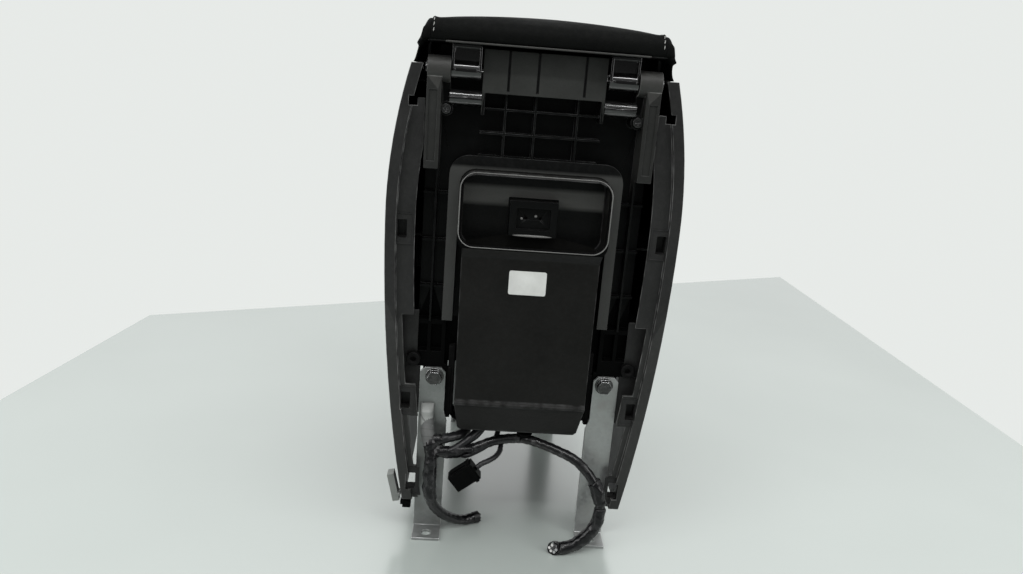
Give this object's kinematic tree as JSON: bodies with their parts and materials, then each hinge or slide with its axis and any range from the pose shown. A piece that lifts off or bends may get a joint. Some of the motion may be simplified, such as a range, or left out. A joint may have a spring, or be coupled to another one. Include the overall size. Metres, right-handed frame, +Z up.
{
  "type": "car centre armrest",
  "caption": "Car centre armrest console: padded rear-hinged lid over a storage bin, side panels, rear air duct, steel floor legs and wiring.",
  "frame": {"origin": "on the floor under the middle of the body, halfway across its width and its depth", "axes": "+Z up, the rear with the air duct faces -Y, +X to the right seen from the rear"},
  "size_m": [0.24, 0.3295, 0.45],
  "materials": {
    "panel_black": "fine moulded grain, satin",
    "frame_black": "plain moulded plastic",
    "duct_black": "blow-moulded, matt with faint flow marks",
    "gloss_black": "glossy moulded plastic",
    "lid_cover": "soft grained cover over foam",
    "rubber_black": "matt rubber",
    "harness_tape": "wrapped cloth and vinyl tape",
    "steel": "galvanised, dull spangle",
    "bolt_steel": "zinc plated",
    "label_white": "bare white label",
    "clip_grey": "moulded, natural grey"
  },
  "bodies": {
    "root": {"side_panel_left": "panel_black", "side_panel_right": "panel_black", "front_trim": "panel_black", "inner_frame": "frame_black", "storage_bin": "frame_black", "bin_mat": "rubber_black", "air_duct": "duct_black", "duct_label": "label_white", "rear_leg_left": "steel", "rear_leg_right": "steel", "front_leg_left": "steel", "front_leg_right": "steel", "rear_leg_bolts": "bolt_steel", "front_leg_bolts": "bolt_steel", "leg_pads": "rubber_black", "hinge_pin_left": "bolt_steel", "hinge_pin_right": "bolt_steel", "stop_bar_left": "gloss_black", "stop_bar_right": "gloss_black", "frame_screws": "bolt_steel", "cable_grommet": "rubber_black", "harness_clip": "frame_black", "harness_left": "harness_tape", "harness_trunk": "harness_tape", "harness_right": "harness_tape", "harness_lead": "harness_tape", "harness_connector": "frame_black", "side_clip": "clip_grey", "side_clip_nut": "frame_black"},
    "lid": {"lid_cushion": "lid_cover", "lid_base": "frame_black", "lid_inner_cover": "frame_black", "hinge_arm_left": "gloss_black", "hinge_arm_right": "gloss_black", "lid_screws": "bolt_steel", "bump_stops": "rubber_black"}
  },
  "joints": [
    {"name": "lid_hinge", "type": "hinge", "parent": "root", "child": "lid", "pos_m": [0, -0.14, 0.407], "axis": [1, 0, 0], "range_deg": [0, 80]}
  ]
}
